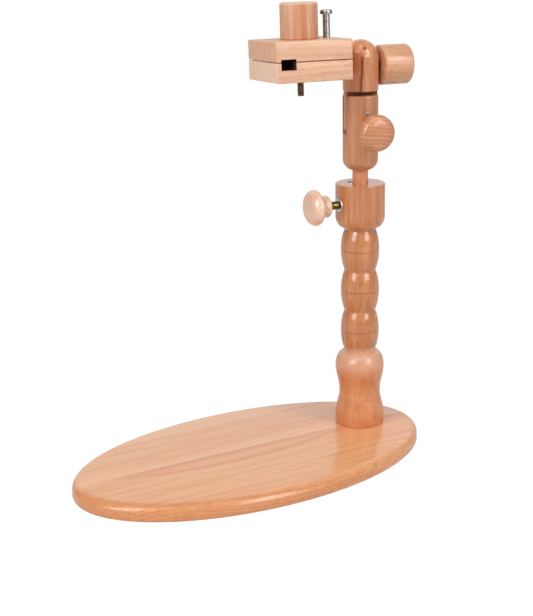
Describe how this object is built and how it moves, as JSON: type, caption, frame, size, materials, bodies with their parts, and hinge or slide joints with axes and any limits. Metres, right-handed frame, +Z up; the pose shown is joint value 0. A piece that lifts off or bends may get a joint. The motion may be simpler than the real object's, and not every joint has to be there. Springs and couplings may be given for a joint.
{
  "type": "embroidery stand",
  "caption": "Wooden table stand with an oval board, a turned column, a height-adjustable rod, a tilting elbow and a two-jaw clamp that grips the rim of an embroidery hoop.",
  "frame": {"origin": "centre of the oval board's underside", "axes": "+X along the board towards the column, +Y across the board away from the side that the turned pivot knob faces, +Z up"},
  "size_m": [0.28, 0.16, 0.327],
  "materials": {
    "board_wood": "clear satin lacquer on light beech",
    "post_wood": "clear gloss lacquer on warm beech",
    "elbow_wood": "clear gloss lacquer on warm beech",
    "knob_wood": "clear satin lacquer on beech",
    "clamp_knob_wood": "clear satin lacquer on striped beech",
    "jaw_wood": "clear satin lacquer on flecked beech",
    "zinc": "bright zinc plate",
    "steel": "bright nickel plate",
    "yellow_zinc": "yellow zinc plate",
    "bronzed_steel": "dark bronzed plate"
  },
  "bodies": {
    "stand": {"base_board": "board_wood", "column": "post_wood", "column_screw": "zinc", "side_insert": "zinc"},
    "side_screw": {"side_screw": "yellow_zinc"},
    "side_knob": {"side_knob": "knob_wood"},
    "rod": {"rod": "post_wood"},
    "barrel": {"barrel": "elbow_wood", "cheek_pin": "steel", "pivot_insert": "zinc"},
    "pivot_screw": {"pivot_screw": "yellow_zinc"},
    "pivot_knob": {"pivot_knob": "knob_wood"},
    "elbow_head": {"elbow_head": "elbow_wood"},
    "lower_jaw": {"lower_jaw": "jaw_wood", "jaw_spacer": "knob_wood", "end_insert": "zinc", "stud_insert": "zinc"},
    "head_screw": {"head_screw": "yellow_zinc"},
    "head_knob": {"head_knob": "knob_wood"},
    "upper_jaw": {"upper_jaw": "jaw_wood", "heel_insert": "zinc"},
    "heel_screw": {"heel_screw": "steel"},
    "clamp_stud": {"clamp_stud": "bronzed_steel"},
    "clamp_knob": {"clamp_knob": "clamp_knob_wood", "clamp_knob_insert": "zinc"}
  },
  "joints": [
    {"name": "side_screw_travel", "type": "slide", "parent": "stand", "child": "side_screw", "axis": [-0.9903, 0.1392, 0], "range_m": [0, 0.006]},
    {"name": "side_knob_turn", "type": "hinge", "parent": "side_screw", "child": "side_knob", "pos_m": [0.0983, 0, 0.181], "axis": [-0.9903, 0.1392, 0], "range_deg": [0, 2160]},
    {"name": "rod_lift", "type": "slide", "parent": "stand", "child": "rod", "axis": [0, 0, 1], "range_m": [-0.009, 0.081]},
    {"name": "arm_swivel", "type": "hinge", "parent": "rod", "child": "barrel", "pos_m": [0.0983, 0, 0.2055], "axis": [0, 0, 1], "continuous": true},
    {"name": "elbow_tilt", "type": "hinge", "parent": "barrel", "child": "elbow_head", "pos_m": [0.0983, 0, 0.236], "axis": [0.2334, 0.9724, 0], "range_deg": [-30, 30]},
    {"name": "pivot_screw_travel", "type": "slide", "parent": "barrel", "child": "pivot_screw", "axis": [-0.2334, -0.9724, 0], "range_m": [0, 0.003]},
    {"name": "pivot_knob_turn", "type": "hinge", "parent": "pivot_screw", "child": "pivot_knob", "pos_m": [0.0983, 0, 0.236], "axis": [-0.2334, -0.9724, 0], "range_deg": [0, 1080]},
    {"name": "clamp_roll", "type": "hinge", "parent": "elbow_head", "child": "lower_jaw", "pos_m": [0.0983, 0, 0.28], "axis": [0.9724, -0.2334, 0], "range_deg": [-45, 45]},
    {"name": "head_screw_travel", "type": "slide", "parent": "lower_jaw", "child": "head_screw", "axis": [0.9724, -0.2334, 0], "range_m": [0, 0.003]},
    {"name": "head_knob_turn", "type": "hinge", "parent": "head_screw", "child": "head_knob", "pos_m": [0.0983, 0, 0.28], "axis": [0.9724, -0.2334, 0], "range_deg": [0, 1080]},
    {"name": "jaw_lift", "type": "slide", "parent": "lower_jaw", "child": "upper_jaw", "axis": [0.0122, 0.0509, 0.9986], "range_m": [0, 0.033]},
    {"name": "clamp_knob_turn", "type": "hinge", "parent": "upper_jaw", "child": "clamp_knob", "pos_m": [0.0536, 0.01235, 0.30996], "axis": [0.0122, 0.0509, 0.9986], "range_deg": [0, 8775]},
    {"name": "stud_rise", "type": "slide", "parent": "lower_jaw", "child": "clamp_stud", "axis": [0.0122, 0.0509, 0.9986], "range_m": [0, 0.0135]},
    {"name": "heel_screw_travel", "type": "slide", "parent": "upper_jaw", "child": "heel_screw", "axis": [0.0122, 0.0509, 0.9986], "range_m": [0, 0.008]}
  ],
  "couplings": [
    {"joint": "side_screw_travel", "follows": "side_knob_turn", "m_per_rad": 0.00015915},
    {"joint": "pivot_screw_travel", "follows": "pivot_knob_turn", "m_per_rad": 0.00015915},
    {"joint": "head_screw_travel", "follows": "head_knob_turn", "m_per_rad": 0.00015915},
    {"joint": "jaw_lift", "follows": "clamp_knob_turn", "m_per_rad": 0.00021547},
    {"joint": "stud_rise", "follows": "clamp_knob_turn", "m_per_rad": 0.000088147}
  ]
}
